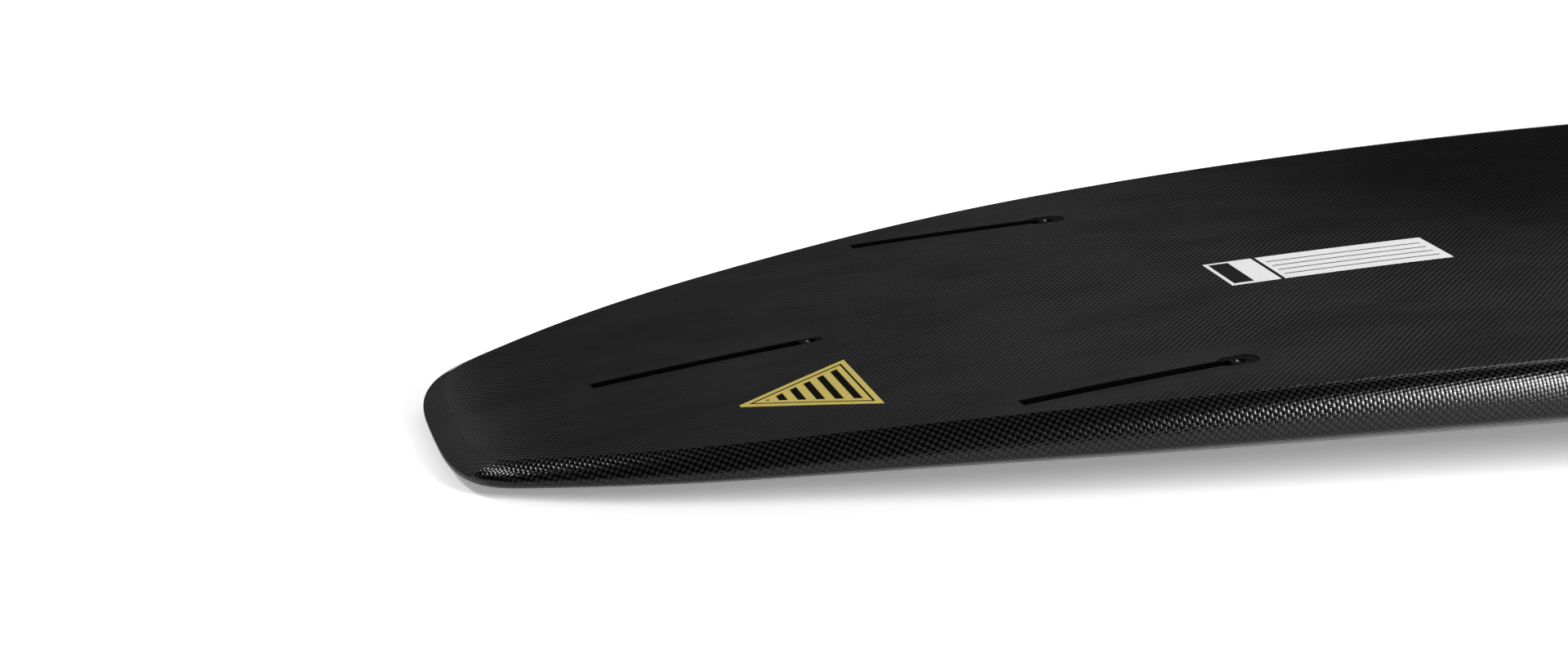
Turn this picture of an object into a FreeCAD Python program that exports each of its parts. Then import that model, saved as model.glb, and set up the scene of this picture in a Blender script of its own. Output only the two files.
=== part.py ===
import FreeCAD, Part
import math
import os

import Sketcher

# A foam-cored, carbon-skinned directional board, lying bottom side up.
# Board frame while building: X runs from the tail end to the nose, the left rail is at -Y,
# Z points out of the bottom and is zero on the flat of the bottom. Millimetres and degrees.

Vec = FreeCAD.Vector
Place = FreeCAD.Placement
Rot = FreeCAD.Rotation

SIZES = (
    # the whole board
    ("board_length", 1803.4),
    ("board_width", 479.5),
    ("board_thickness", 60.3),
    ("tail_thickness", 18.1),
    ("gauge_foot", 304.8),
    ("tail_foot_thickness", 41.8),
    ("nose_foot_thickness", 38.0),
    ("nose_thickness", 13.0),
    ("tail_rocker", 59.6),
    ("tail_rocker_power", 2.57),
    ("nose_rocker", 118.0),
    ("nose_rocker_power", 2.4),
    ("low_point_share", 0.499),
    # the rounded square tail and the nose tip
    ("tail_corner_length", 35.7),
    ("tail_corner_power", 3.48),
    ("nose_cap_length", 8.0),
    ("tail_hub", 36.0),
    ("nose_hub", 60.0),
    # the rails
    ("rail_apex_share", 0.435),
    ("tuck_fade_start", 150.0),
    ("tuck_width_tail", 10.9),
    ("tuck_width_middle", 13.9),
    ("tuck_width_nose", 4.0),
    ("edge_hardness", 0.37),
    ("edge_fade_start", 100.0),
    ("edge_fade_end", 700.0),
    ("deck_crown_power", 2.36),
    ("skin_thickness", 1.2),
    ("rail_lap_share", 0.667),
    # fin boxes
    ("fin_slot_length", 114.3),
    ("fin_slot_width", 6.9),
    ("fin_slot_depth", 19.0),
    ("centre_slot_from_tail", 84.2),
    ("side_slot_from_tail", 270.3),
    ("side_slot_inset", 44.8),
    ("side_slot_toe", 3.4),
    ("box_side_wall", 3.3),
    ("box_rear_wall", 5.0),
    ("box_front_block", 17.0),
    ("box_floor", 1.6),
    ("box_flange_reach", 3.0),
    ("box_flange_depth", 3.0),
    ("slot_edge_gap", 0.4),
    ("side_pad_width", 13.2),
    ("side_pad_back", 7.0),
    ("side_pad_front", 15.5),
    ("centre_pad_width", 7.4),
    ("centre_pad_back", 4.0),
    ("centre_pad_front", 12.0),
    ("block_margin", 8.0),
    # fin screws
    ("screw_diameter", 4.2),
    ("screw_length", 8.5),
    ("screw_angle", 45.0),
    ("screw_depth", 6.5),
    ("screw_tip_reach", 1.0),
    ("screw_clearance", 0.05),
    ("screw_cone", 0.9),
    ("hex_key_size", 2.0),
    ("hex_key_depth", 2.4),
    # leash plug
    ("leash_from_tail", 80.0),
    ("leash_offset", 47.0),
    ("leash_cup_diameter", 30.0),
    ("leash_cup_wall", 3.0),
    ("leash_cup_depth", 15.0),
    ("leash_cup_floor", 1.8),
    ("leash_bar_diameter", 4.0),
    ("leash_bar_depth", 5.0),
    ("leash_bar_bite", 2.0),
    ("leash_block_diameter", 48.0),
    # vent plug
    ("vent_from_tail", 1020.0),
    ("vent_diameter", 14.0),
    ("vent_depth", 15.0),
    ("vent_bore", 4.0),
    ("vent_seat_diameter", 10.0),
    ("vent_seat_depth", 3.0),
    ("vent_membrane_thickness", 0.4),
    ("vent_cap_hole", 2.0),
    # sheets bonded on the bottom
    ("sheet_thickness", 0.3),
    ("label_station_share", 0.2409),
    ("label_centre_offset", -8.0),
    ("label_length", 132.8),
    ("label_width", 40.0),
    ("decal_from_tail", 145.0),
    ("decal_centre_offset", -77.0),
    ("decal_length", 65.0),
    ("decal_width", 71.0),
    ("decal_tip_width", 2.0),
)

# Half width of the outline: station along the length, and half width as a share of the widest.
OUTLINE_SHARES = (
    (0.0, 0.315),
    (0.055, 0.521),
    (0.111, 0.649),
    (0.169, 0.756),
    (0.250, 0.852),
    (0.344, 0.925),
    (0.444, 0.984),
    (0.516, 1.000),
    (0.600, 0.974),
    (0.690, 0.888),
    (0.770, 0.754),
    (0.831, 0.617),
    (0.900, 0.424),
    (0.950, 0.255),
    (1.0, 0.036),
)
TAIL_CAP_STEPS = 14
NOSE_CAP_STEPS = 5
SIDE_STEPS = 40
BOTTOM_ROWS = (0.0, 0.12, 0.40, 0.75, 1.0)
DECK_ANGLES = (6.0, 14.0, 24.0, 36.0, 50.0, 66.0)
SHOULDER_ANGLE = 80.0
OVERFILL = 3.0
THROUGH = 120.0

doc = FreeCAD.newDocument("board")
sheet = doc.addObject("Spreadsheet::Sheet", "sizes")
for row, (alias, value) in enumerate(SIZES, start=1):
    sheet.set("A%d" % row, alias)
    sheet.set("B%d" % row, str(value))
    sheet.setAlias("B%d" % row, alias)
doc.recompute()


def size(alias):
    return float(sheet.get(alias))


def blend(start, end, share):
    share = min(1.0, max(0.0, share))
    return start + (end - start) * share * share * (3.0 - 2.0 * share)


# ---------------------------------------------------------------- the shape of the hull


def natural_spline(stations):
    """A natural cubic spline through (x, y) stations, as a function of x."""
    xs = [point[0] for point in stations]
    ys = [point[1] for point in stations]
    last = len(xs) - 1
    gaps = [xs[i + 1] - xs[i] for i in range(last)]
    diagonal = [1.0]
    ratio = [0.0]
    bend = [0.0]
    for i in range(1, last):
        jump = 3.0 * ((ys[i + 1] - ys[i]) / gaps[i] - (ys[i] - ys[i - 1]) / gaps[i - 1])
        diagonal.append(2.0 * (xs[i + 1] - xs[i - 1]) - gaps[i - 1] * ratio[i - 1])
        ratio.append(gaps[i] / diagonal[i])
        bend.append((jump - gaps[i - 1] * bend[i - 1]) / diagonal[i])
    curve = [0.0] * (last + 1)
    for i in range(last - 1, 0, -1):
        curve[i] = bend[i] - ratio[i] * curve[i + 1]

    def value(x):
        i = 0
        while i < last - 1 and x > xs[i + 1]:
            i += 1
        step = x - xs[i]
        slope = (ys[i + 1] - ys[i]) / gaps[i] - gaps[i] * (curve[i + 1] + 2.0 * curve[i]) / 3.0
        cubic = (curve[i + 1] - curve[i]) / (3.0 * gaps[i])
        return ys[i] + slope * step + curve[i] * step**2 + cubic * step**3

    return value


length = size("board_length")
foot = size("gauge_foot")
side_width = natural_spline(
    [(x * length, share * size("board_width") / 2.0) for x, share in OUTLINE_SHARES]
)
thickness = natural_spline(
    [
        (0.0, size("tail_thickness")),
        (foot, size("tail_foot_thickness")),
        (length / 2.0, size("board_thickness")),
        (length - foot, size("nose_foot_thickness")),
        (length, size("nose_thickness")),
    ]
)


def bottom_height(x):
    low_point = size("low_point_share") * length
    if x < low_point:
        share = (low_point - x) / low_point
        return -size("tail_rocker") * share ** size("tail_rocker_power")
    share = (x - low_point) / (length - low_point)
    return -size("nose_rocker") * share ** size("nose_rocker_power")


def half_width(x):
    corner = size("tail_corner_length")
    power = size("tail_corner_power")
    if x >= corner:
        return side_width(x)
    return side_width(x) * (1.0 - (1.0 - x / corner) ** power) ** (1.0 / power)


def deck_height(x, y):
    crown = max(0.0, 1.0 - (abs(y) / half_width(x)) ** size("deck_crown_power"))
    apex = size("rail_apex_share") * thickness(x)
    return bottom_height(x) - apex - (thickness(x) - apex) * math.sqrt(crown)


def outline_points():
    """The right half of the outline, from the tail's middle round to the nose tip."""
    points = []
    corner = size("tail_corner_length")
    cap = size("nose_cap_length")
    for i in range(TAIL_CAP_STEPS):
        angle = math.pi / 2.0 * i / TAIL_CAP_STEPS
        power = 2.0 / size("tail_corner_power")
        x = corner * (1.0 - math.cos(angle) ** power)
        points.append(Vec(x, side_width(x) * math.sin(angle) ** power, 0))
    for i in range(SIDE_STEPS + 1):
        share = 0.5 - 0.5 * math.cos(math.pi * i / SIDE_STEPS)
        x = corner + (length - cap - corner) * share
        points.append(Vec(x, side_width(x), 0))
    for i in range(NOSE_CAP_STEPS - 1, -1, -1):
        angle = math.pi / 2.0 * i / NOSE_CAP_STEPS
        x = length - cap * (1.0 - math.cos(angle))
        points.append(Vec(x, side_width(x) * math.sin(angle), 0))
    return points


class Station:
    """One place on the outline, with what the rail does there."""

    def __init__(self, point, inward, middle):
        self.point = point
        self.inward = inward
        self.middle = middle
        self.apex = size("rail_apex_share") * thickness(point.x)
        fade_length = size("edge_fade_end") - size("edge_fade_start")
        fade = (point.x - size("edge_fade_start")) / fade_length
        self.edge_drop = blend(size("edge_hardness"), 0.0, fade) * self.apex
        if point.x < length / 2.0:
            start = size("tuck_fade_start")
            share = (point.x - start) / (length / 2.0 - start)
            self.tuck = blend(size("tuck_width_tail"), size("tuck_width_middle"), share)
        else:
            share = (point.x - length / 2.0) / (length / 2.0)
            self.tuck = blend(size("tuck_width_middle"), size("tuck_width_nose"), share)

    def at(self, inset, depth):
        place = self.point + self.inward * inset
        return Vec(place.x, place.y, bottom_height(place.x) - depth)

    def across(self, inset, share):
        """A place between the rail and the middle, leaving the rail square to it."""
        start = self.point + self.inward * inset
        reach = self.middle - start
        square = self.inward * reach.dot(self.inward) - reach
        return start + reach * share + square * (share * (1.0 - share) ** 3)


def outline_stations():
    points = outline_points()
    last = len(points) - 1
    reach = length - size("tail_hub") - size("nose_hub")
    stations = []
    for i, point in enumerate(points):
        if i == 0:
            inward = Vec(1, 0, 0)
        elif i == last:
            inward = Vec(-1, 0, 0)
        else:
            along = points[i + 1] - points[i - 1]
            inward = Vec(along.y, -along.x, 0).normalize()
        middle = Vec(size("tail_hub") + reach * point.x / length, 0, 0)
        stations.append(Station(point, inward, middle))
    return stations


def bottom_row(station, drop):
    """Poles from the edge line to the middle of the bottom, dropped by a depth."""
    edge = station.point + station.inward * station.tuck
    row = []
    for share in BOTTOM_ROWS:
        place = edge + (station.middle - edge) * share
        row.append(Vec(place.x, place.y, bottom_height(place.x) - drop))
    return row


def deck_row(station, inset):
    """Poles from the edge line round the rail and across the deck to its middle."""
    edge = station.at(station.tuck, inset)
    knee = station.at(inset, station.edge_drop + inset)
    apex = station.at(inset, station.apex)
    row = [edge, (edge + knee) * 0.5, knee + (apex - knee) * 0.35, apex]
    power = 2.0 / size("deck_crown_power")
    for angle in DECK_ANGLES + (SHOULDER_ANGLE, 90.0):
        turn = math.radians(angle)
        share = 1.0 - max(0.0, math.cos(turn)) ** power
        rise = 1.0 if angle >= SHOULDER_ANGLE else math.sin(turn)
        place = station.across(inset, min(1.0, share) if angle < 90.0 else 1.0)
        fall = station.apex + (thickness(place.x) - inset - station.apex) * rise
        row.append(Vec(place.x, place.y, bottom_height(place.x) - fall))
    return row


def clamped(count, degree):
    """Knots and multiplicities of a clamped uniform spline."""
    spans = count - degree
    knots = [float(i) / spans for i in range(spans + 1)]
    counts = [degree + 1] + [1] * (spans - 1) + [degree + 1]
    return knots, counts


def spline_surface(rows, cross_degree):
    knots_along, counts_along = clamped(len(rows), 3)
    knots_across, counts_across = clamped(len(rows[0]), cross_degree)
    surface = Part.BSplineSurface()
    surface.buildFromPolesMultsKnots(
        rows, counts_along, counts_across, knots_along, knots_across, False, False, 3, cross_degree
    )
    return surface


def both_sides(rows, cross_degree=3, start=0.0, end=1.0):
    """Right and left faces of one surface, over a share of the way across."""
    mirrored = [[Vec(pole.x, -pole.y, pole.z) for pole in row] for row in rows]
    faces = []
    for poles in (rows, mirrored):
        surface = spline_surface(poles, cross_degree)
        surface.segment(0.0, 1.0, start, end)
        faces.append(surface.toShape())
    return faces


def closed_solid(faces):
    shell = Part.makeShell(faces)
    shell.sewShape()
    solid = Part.makeSolid(shell)
    if solid.Volume < 0:
        solid.reverse()
    return solid


stations = outline_stations()
skin = size("skin_thickness")
bottom_outer = [bottom_row(station, 0.0) for station in stations]
bottom_inner = [bottom_row(station, skin) for station in stations]
deck_outer = [deck_row(station, 0.0) for station in stations]
deck_inner = [deck_row(station, skin) for station in stations]
skin_joint = [[outer[0], inner[0]] for outer, inner in zip(bottom_outer, bottom_inner)]
lap = size("rail_lap_share")


def lap_joint():
    """Poles of the wall where the rail's laminate gives way to the deck's."""
    outer = spline_surface(deck_outer, 3).vIso(lap).getPoles()
    inner = spline_surface(deck_inner, 3).vIso(lap).getPoles()
    return [[top, under] for top, under in zip(outer, inner)]


def sheet_layer():
    """The thin layer over the bottom from which bonded sheets are cut."""
    raised = [bottom_row(station, -size("sheet_thickness")) for station in stations]
    rim = [[outer[0], top[0]] for outer, top in zip(bottom_outer, raised)]
    return closed_solid(both_sides(bottom_outer) + both_sides(raised) + both_sides(rim, 1))


# ---------------------------------------------------------------- how the board lies


def middle_profile():
    """Points down the middle of the deck and round both ends."""
    surface = spline_surface(deck_outer, 3)
    points = []
    for i in range(401):
        points.append(surface.value(0.0, i / 400.0))
        points.append(surface.value(i / 400.0, 1.0))
        points.append(surface.value(1.0, i / 400.0))
    return points


def resting_place():
    """Lay the board on its deck, touching at the tail and the nose, over the frame's origin."""
    points = middle_profile()
    tail = [point for point in points if point.x < length / 2.0]
    nose = [point for point in points if point.x >= length / 2.0]
    low, high = -5.0, 15.0
    for _ in range(60):
        angle = (low + high) / 2.0
        turn = Rot(Vec(0, 1, 0), -angle)
        tail_low = min(turn.multVec(point).z for point in tail)
        nose_low = min(turn.multVec(point).z for point in nose)
        if nose_low < tail_low:
            low = angle
        else:
            high = angle
    turned = [turn.multVec(point) for point in points]
    left = min(point.x for point in turned)
    right = max(point.x for point in turned)
    return Place(Vec(-(left + right) / 2.0, 0, -min(tail_low, nose_low)), turn)


rest = resting_place()


def slope_angle(height, x):
    return math.degrees(math.atan((height(x + 1.0) - height(x - 1.0)) / 2.0))


# ---------------------------------------------------------------- helpers for the pieces


def feature(name, shape):
    item = doc.addObject("Part::Feature", name)
    item.Shape = shape
    return item


def boolean(kind, name, base, tool):
    item = doc.addObject("Part::" + kind, name)
    item.Base = base
    item.Tool = tool
    return item


def joined(name, items):
    item = doc.addObject("Part::MultiFuse", name)
    item.Shapes = items
    return item


def bind(item, **formulas):
    for prop, formula in formulas.items():
        item.setExpression(prop.replace("__", "."), formula)
    return item


def cylinder(name, place, **formulas):
    item = doc.addObject("Part::Cylinder", name)
    item.Placement = place
    return bind(item, **formulas)


def block(name, place, **formulas):
    item = doc.addObject("Part::Box", name)
    item.Placement = place
    return bind(item, **formulas)


def plane(body, role):
    for origin_feature in body.Origin.OriginFeatures:
        if origin_feature.Role == role:
            return origin_feature
    raise ValueError("no origin plane " + role)


def new_body(name, place):
    body = doc.addObject("PartDesign::Body", name)
    body.Placement = place
    return body


def new_sketch(body, name, offset=None):
    sketch = body.newObject("Sketcher::SketchObject", name)
    sketch.AttachmentSupport = [(plane(body, "XY_Plane"), "")]
    sketch.MapMode = "FlatFace"
    if offset is not None:
        sketch.AttachmentOffset = offset
    return sketch


def constrain(sketch, formula, *details):
    index = sketch.addConstraint(Sketcher.Constraint(*details))
    sketch.setExpression("Constraints[%d]" % index, formula)


def stadium(sketch, rear, front, width):
    """A round-ended outline along X, from -rear to +front, each a formula of the sheet."""
    rear_arc = Part.ArcOfCircle(
        Part.Circle(Vec(-60, 0, 0), Vec(0, 0, 1), 6), math.pi / 2.0, math.pi * 1.5
    )
    front_arc = Part.ArcOfCircle(
        Part.Circle(Vec(60, 0, 0), Vec(0, 0, 1), 6), -math.pi / 2.0, math.pi / 2.0
    )
    sketch.addGeometry(rear_arc, False)
    sketch.addGeometry(front_arc, False)
    sketch.addGeometry(Part.LineSegment(Vec(-60, -6, 0), Vec(60, -6, 0)), False)
    sketch.addGeometry(Part.LineSegment(Vec(60, 6, 0), Vec(-60, 6, 0)), False)
    for first, first_end, second, second_end in ((0, 2, 2, 1), (2, 2, 1, 1), (1, 2, 3, 1), (3, 2, 0, 1)):
        sketch.addConstraint(Sketcher.Constraint("Tangent", first, first_end, second, second_end))
    sketch.addConstraint(Sketcher.Constraint("Equal", 0, 1))
    sketch.addConstraint(Sketcher.Constraint("PointOnObject", 0, 3, -1))
    sketch.addConstraint(Sketcher.Constraint("PointOnObject", 1, 3, -1))
    constrain(sketch, "(%s) / 2" % width, "Radius", 0, 6.0)
    constrain(sketch, "(%s) - (%s) / 2" % (rear, width), "DistanceX", 0, 3, -1, 1, 60.0)
    constrain(sketch, "(%s) - (%s) / 2" % (front, width), "DistanceX", -1, 1, 1, 3, 60.0)


def rectangle(sketch, half_length, half_breadth):
    """A square-cornered outline about the sketch's origin."""
    corners = [Vec(-50, -4, 0), Vec(50, -4, 0), Vec(50, 4, 0), Vec(-50, 4, 0)]
    for i in range(4):
        sketch.addGeometry(Part.LineSegment(corners[i], corners[(i + 1) % 4]), False)
    for i in range(4):
        sketch.addConstraint(Sketcher.Constraint("Coincident", i, 2, (i + 1) % 4, 1))
    for kind, edge in (("Horizontal", 0), ("Vertical", 1), ("Horizontal", 2), ("Vertical", 3)):
        sketch.addConstraint(Sketcher.Constraint(kind, edge))
    constrain(sketch, half_length, "DistanceX", -1, 1, 1, 1, 50.0)
    constrain(sketch, half_length, "DistanceX", 0, 1, -1, 1, 50.0)
    constrain(sketch, half_breadth, "DistanceY", 0, 1, -1, 1, 4.0)
    constrain(sketch, half_breadth, "DistanceY", -1, 1, 2, 1, 4.0)


def disc(sketch, radius):
    sketch.addGeometry(Part.Circle(Vec(0, 0, 0), Vec(0, 0, 1), 2.0), False)
    sketch.addConstraint(Sketcher.Constraint("Coincident", 0, 3, -1, 1))
    constrain(sketch, radius, "Radius", 0, 2.0)


def hexagon(sketch, across_flats):
    corner = [Vec(math.cos(math.radians(a)), math.sin(math.radians(a)), 0) for a in range(0, 360, 60)]
    for i in range(6):
        sketch.addGeometry(Part.LineSegment(corner[i], corner[(i + 1) % 6]), False)
    for i in range(6):
        sketch.addConstraint(Sketcher.Constraint("Coincident", i, 2, (i + 1) % 6, 1))
    sketch.addGeometry(Part.Circle(Vec(0, 0, 0), Vec(0, 0, 1), 1.0), True)
    sketch.addConstraint(Sketcher.Constraint("Coincident", 6, 3, -1, 1))
    for i in range(6):
        sketch.addConstraint(Sketcher.Constraint("PointOnObject", i, 1, 6))
    for i in range(1, 6):
        sketch.addConstraint(Sketcher.Constraint("Equal", 0, i))
    sketch.addConstraint(Sketcher.Constraint("PointOnObject", 0, 1, -1))
    constrain(sketch, "%s / (2 * cos(30 deg))" % across_flats, "Radius", 6, 1.0)


def pad(body, name, sketch, depth, downward):
    item = body.newObject("PartDesign::Pad", name)
    item.Profile = sketch
    item.Reversed = downward
    item.setExpression("Length", depth)
    return item


def pocket(body, name, sketch, depth, upward=False):
    item = body.newObject("PartDesign::Pocket", name)
    item.Profile = sketch
    item.Reversed = upward
    item.setExpression("Length", depth)
    return item


def prism(name, place, rear, front, width):
    """A tall round-ended prism, for openings and foam blocks."""
    body = new_body(name, place)
    sketch = new_sketch(body, name + "_outline", Place(Vec(0, 0, OVERFILL), Rot()))
    stadium(sketch, rear, front, width)
    pad(body, name + "_pad", sketch, "%g" % THROUGH, True)
    return body


# ---------------------------------------------------------------- hull, core and skins

envelope = feature("envelope", closed_solid(both_sides(bottom_outer) + both_sides(deck_outer)))
core_blank = feature("core_blank", closed_solid(both_sides(bottom_inner) + both_sides(deck_inner)))
bottom_blank = feature(
    "bottom_blank",
    closed_solid(both_sides(bottom_outer) + both_sides(bottom_inner) + both_sides(skin_joint, 1)),
)
lap_wall = lap_joint()
rail_faces = both_sides(deck_outer, 3, 0.0, lap) + both_sides(deck_inner, 3, 0.0, lap)
rail_skin = feature(
    "rail_skin", closed_solid(rail_faces + both_sides(lap_wall, 1) + both_sides(skin_joint, 1))
)
deck_faces = both_sides(deck_outer, 3, lap, 1.0) + both_sides(deck_inner, 3, lap, 1.0)
deck_blank = feature("deck_blank", closed_solid(deck_faces + both_sides(lap_wall, 1)))
layer = feature("layer", sheet_layer())

nodes = []


def node(name, item, place=None):
    """Name a finished piece and lay it with the board."""
    item.Label = name
    if place is None:
        item.Placement = rest
    else:
        item.Placement = rest.multiply(place)
    nodes.append(item)
    return item


# ---------------------------------------------------------------- fin boxes, blocks and screws

HALF_SLOT = "sizes.fin_slot_length / 2"
BODY_REAR = HALF_SLOT + " + sizes.box_rear_wall"
BODY_FRONT = HALF_SLOT + " + sizes.box_front_block"
BODY_WIDTH = "sizes.fin_slot_width + 2 * sizes.box_side_wall"
FLANGE_REAR = BODY_REAR + " + sizes.box_flange_reach"
FLANGE_FRONT = BODY_FRONT + " + sizes.box_flange_reach"
FLANGE_WIDTH = BODY_WIDTH + " + 2 * sizes.box_flange_reach"
BLOCK_REAR = FLANGE_REAR + " + sizes.block_margin"
BLOCK_FRONT = FLANGE_FRONT + " + sizes.block_margin"
BLOCK_WIDTH = FLANGE_WIDTH + " + 2 * sizes.block_margin"
SLOT_FLOOR = "sizes.skin_thickness + sizes.fin_slot_depth"


def fin_place(from_tail, offset, toe):
    """The frame of a fin slot: its middle, level with the bottom, X along the slot."""
    x = from_tail + size("fin_slot_length") / 2.0
    pitch = Rot(Vec(0, 1, 0), -slope_angle(bottom_height, x))
    return Place(Vec(x, offset, bottom_height(x)), pitch.multiply(Rot(Vec(0, 0, 1), toe)))


def screw_place():
    """The frame of a fin screw: on the slot's front wall, Z out along the screw."""
    wall = Vec(size("fin_slot_length") / 2.0, 0, -size("skin_thickness") - size("screw_depth"))
    return Place(wall, Rot(Vec(0, 1, 0), size("screw_angle")))


def box_outside(name, place):
    """The moulded housing before its slot and screw hole, too tall until it is faced off."""
    body = new_body(name, place)
    above = Place(Vec(0, 0, OVERFILL), Rot())
    flange = new_sketch(body, name + "_flange_outline", above)
    stadium(flange, FLANGE_REAR, FLANGE_FRONT, FLANGE_WIDTH)
    depth = "%g + sizes.skin_thickness + sizes.box_flange_depth" % OVERFILL
    pad(body, name + "_flange", flange, depth, True)
    trunk = new_sketch(body, name + "_trunk_outline", above)
    stadium(trunk, BODY_REAR, BODY_FRONT, BODY_WIDTH)
    depth = "%g + %s + sizes.box_floor" % (OVERFILL, SLOT_FLOOR)
    pad(body, name + "_trunk", trunk, depth, True)
    return body


def box_housing(name, place):
    body = box_outside(name, place)
    slot = new_sketch(body, name + "_slot_outline", Place(Vec(0, 0, OVERFILL), Rot()))
    rectangle(slot, HALF_SLOT, "sizes.fin_slot_width / 2")
    pocket(body, name + "_slot", slot, "%g + %s" % (OVERFILL, SLOT_FLOOR))
    inside = screw_place()
    inside = inside.multiply(Place(Vec(0, 0, -size("screw_diameter") / 2.0), Rot()))
    bore = new_sketch(body, name + "_screw_outline", inside)
    disc(bore, "sizes.screw_diameter / 2 + sizes.screw_clearance")
    pocket(body, name + "_screw_hole", bore, "3 * sizes.screw_length", True)
    return body


def fin_screw(name, place):
    """A socket-head grub screw with a coned tip, seated against the fin's tab."""
    body = new_body(name, place)
    bottom = Place(Vec(0, 0, -size("screw_tip_reach")), Rot())
    shank = new_sketch(body, name + "_outline", bottom)
    disc(shank, "sizes.screw_diameter / 2")
    pad(body, name + "_shank", shank, "sizes.screw_length", False)
    doc.recompute()
    cone = body.newObject("PartDesign::Chamfer", name + "_cone")
    shank_pad = doc.getObject(name + "_shank")
    tip_edges = []
    for i, edge in enumerate(shank_pad.Shape.Edges, start=1):
        if edge.Closed and edge.BoundBox.ZMax < -size("screw_tip_reach") + 0.01:
            tip_edges.append("Edge%d" % i)
    cone.Base = (shank_pad, tip_edges)
    cone.setExpression("Size", "sizes.screw_cone")
    head = Place(Vec(0, 0, size("screw_length") - size("screw_tip_reach")), Rot())
    key = new_sketch(body, name + "_key_outline", head)
    hexagon(key, "sizes.hex_key_size")
    pocket(body, name + "_key_socket", key, "sizes.hex_key_depth")
    return body


def laminate_opening(side, place, kind):
    """The edge of the slot and the pad round its screw, to be cut through the laminate."""
    opening = new_body(side + "_opening", place)
    depth = "%g + 2 * sizes.skin_thickness" % (2 * OVERFILL)
    edge = new_sketch(opening, side + "_edge_outline", Place(Vec(0, 0, OVERFILL), Rot()))
    gap = " + sizes.slot_edge_gap"
    rectangle(edge, HALF_SLOT + gap, "sizes.fin_slot_width / 2" + gap)
    pad(opening, side + "_edge_pad", edge, depth, True)
    slot_end = Place(Vec(size("fin_slot_length") / 2.0, 0, OVERFILL), Rot())
    front = new_sketch(opening, side + "_front_outline", slot_end)
    reach = ["sizes.%s_pad_%s" % (kind, part) for part in ("back", "front", "width")]
    stadium(front, *reach)
    pad(opening, side + "_front_pad", front, depth, True)
    return opening


def fin_set(side, from_tail, offset, toe, kind):
    """Everything that belongs to one fin slot; gives what it takes out of core and skin."""
    place = fin_place(from_tail, offset, toe)
    housing = box_housing(side + "_housing", place)
    box = boolean("Common", side + "_fin_box", housing, core_blank)
    node(side + "_fin_box", box)
    block_prism = prism(side + "_block_prism", place, BLOCK_REAR, BLOCK_FRONT, BLOCK_WIDTH)
    block_blank = boolean("Common", side + "_block_blank", block_prism, core_blank)
    socket = box_outside(side + "_socket", place)
    foam = boolean("Cut", side + "_box_block", block_blank, socket)
    node(side + "_box_block", foam)
    screw = fin_screw(side + "_fin_screw", place)
    node(side + "_fin_screw", screw, place.multiply(screw_place()))
    return block_prism, laminate_opening(side, place, kind)


side_from_tail = size("side_slot_from_tail")
side_offset = side_width(side_from_tail + size("fin_slot_length") / 2.0) - size("side_slot_inset")
toe = size("side_slot_toe")
fin_sets = [
    fin_set("centre", size("centre_slot_from_tail"), 0.0, 0.0, "centre"),
    fin_set("left", side_from_tail, -side_offset, toe, "side"),
    fin_set("right", side_from_tail, side_offset, -toe, "side"),
]

# ---------------------------------------------------------------- leash plug


def deck_place(x, y):
    """A frame on the deck with Z out of it."""
    along = Vec(2.0, 0, deck_height(x + 1.0, y) - deck_height(x - 1.0, y)).normalize()
    aside = Vec(0, 2.0, deck_height(x, y + 1.0) - deck_height(x, y - 1.0))
    outward = aside.cross(along).normalize()
    return Place(Vec(x, y, deck_height(x, y)), Rot(along, outward.cross(along), outward, "ZXY"))


def sunk(place, depth):
    return place.multiply(Place(Vec(0, 0, -depth), Rot()))


leash_place = deck_place(size("leash_from_tail"), size("leash_offset"))
over = "%g + " % OVERFILL
cup_floor = sunk(leash_place, size("leash_cup_depth"))
cup_outside = cylinder(
    "cup_outside", cup_floor, Radius="sizes.leash_cup_diameter / 2", Height=over + "sizes.leash_cup_depth"
)
cup_socket = cylinder(
    "cup_socket", cup_floor, Radius="sizes.leash_cup_diameter / 2", Height=over + "sizes.leash_cup_depth"
)
cup_inside = cylinder(
    "cup_inside",
    cup_floor.multiply(Place(Vec(0, 0, size("leash_cup_floor")), Rot())),
    Radius="sizes.leash_cup_diameter / 2 - sizes.leash_cup_wall",
    Height=over + "sizes.leash_cup_depth",
)
bar_half = size("leash_cup_diameter") / 2.0 - size("leash_cup_wall") + size("leash_bar_bite")
bar_axis = Place(Vec(0, -bar_half, -size("leash_bar_depth")), Rot(Vec(1, 0, 0), -90.0))
BAR_LENGTH = "sizes.leash_cup_diameter - 2 * sizes.leash_cup_wall + 2 * sizes.leash_bar_bite"
bar_hole = cylinder(
    "bar_hole", leash_place.multiply(bar_axis), Radius="sizes.leash_bar_diameter / 2", Height=BAR_LENGTH
)
cup_faced = boolean("Common", "cup_faced", cup_outside, envelope)
cup_hollow = boolean("Cut", "cup_hollow", cup_faced, cup_inside)
node("leash_cup", boolean("Cut", "leash_cup", cup_hollow, bar_hole))
leash_bar = cylinder("leash_bar", Place(), Radius="sizes.leash_bar_diameter / 2", Height=BAR_LENGTH)
node("leash_bar", leash_bar, leash_place.multiply(bar_axis))

leash_prism = cylinder(
    "leash_prism",
    sunk(leash_place, THROUGH / 2.0),
    Radius="sizes.leash_block_diameter / 2",
    Height="%g" % THROUGH,
)
leash_blank = boolean("Common", "leash_blank", leash_prism, core_blank)
node("leash_block", boolean("Cut", "leash_block", leash_blank, cup_socket))

# ---------------------------------------------------------------- vent plug

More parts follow.
